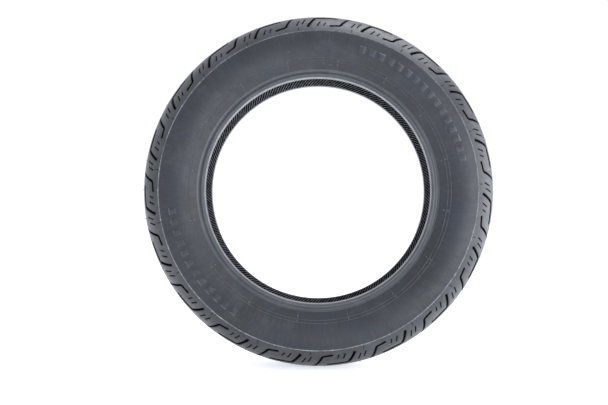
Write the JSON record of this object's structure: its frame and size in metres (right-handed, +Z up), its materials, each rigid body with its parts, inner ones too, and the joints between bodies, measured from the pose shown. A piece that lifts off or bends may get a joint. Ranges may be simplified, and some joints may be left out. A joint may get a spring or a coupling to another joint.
{
  "type": "motorcycle tire",
  "caption": "Tubeless-type motorcycle tire with a round crown, slanted shoulder grooves, fine sipes, ringed sidewalls and a narrow bead opening.",
  "frame": {"origin": "centre of the tire, on the wheel axis midway between the beads", "axes": "+Y along the wheel axis towards the back sidewall, +Z up, +X to the right as seen from the front (-Y) side"},
  "size_m": [0.6418, 0.1452, 0.6418],
  "materials": {
    "tread_rubber": "moulded tread rubber, satin, light handling wear",
    "sidewall_rubber": "moulded sidewall rubber, satin with a faint sheen",
    "cushion_rubber": "hard bead rubber, satin",
    "liner_rubber": "inner skin rubber with fine slanted ribs, release-agent bloom",
    "base_rubber": "unexposed base rubber, matt",
    "filler_rubber": "stiff filler rubber, matt",
    "ply_cord": "rubberised textile cord ply, matt with parallel cords",
    "belt_cord": "rubberised aramid belt, matt with parallel cords",
    "bead_fabric": "rubber-coated woven strip",
    "bead_wire": "bronze-coated drawn steel wire"
  },
  "bodies": {
    "root": {"tread_cap": "tread_rubber", "undertread": "base_rubber", "belt_outer": "belt_cord", "belt_inner": "belt_cord", "carcass_ply_outer": "ply_cord", "carcass_ply_inner": "ply_cord", "barrier_gum": "base_rubber", "inner_liner": "liner_rubber", "belt_edge_strip_back": "base_rubber", "bead_wires_back": "bead_wire", "bead_insulation_back": "filler_rubber", "bead_wrap_back": "bead_fabric", "bead_filler_back": "filler_rubber", "flipper_back": "bead_fabric", "chafer_back": "bead_fabric", "rim_cushion_back": "cushion_rubber", "sidewall_back": "sidewall_rubber", "belt_edge_strip_front": "base_rubber", "bead_wires_front": "bead_wire", "bead_insulation_front": "filler_rubber", "bead_wrap_front": "bead_fabric", "bead_filler_front": "filler_rubber", "flipper_front": "bead_fabric", "chafer_front": "bead_fabric", "rim_cushion_front": "cushion_rubber", "sidewall_front": "sidewall_rubber"}
  },
  "joints": []
}
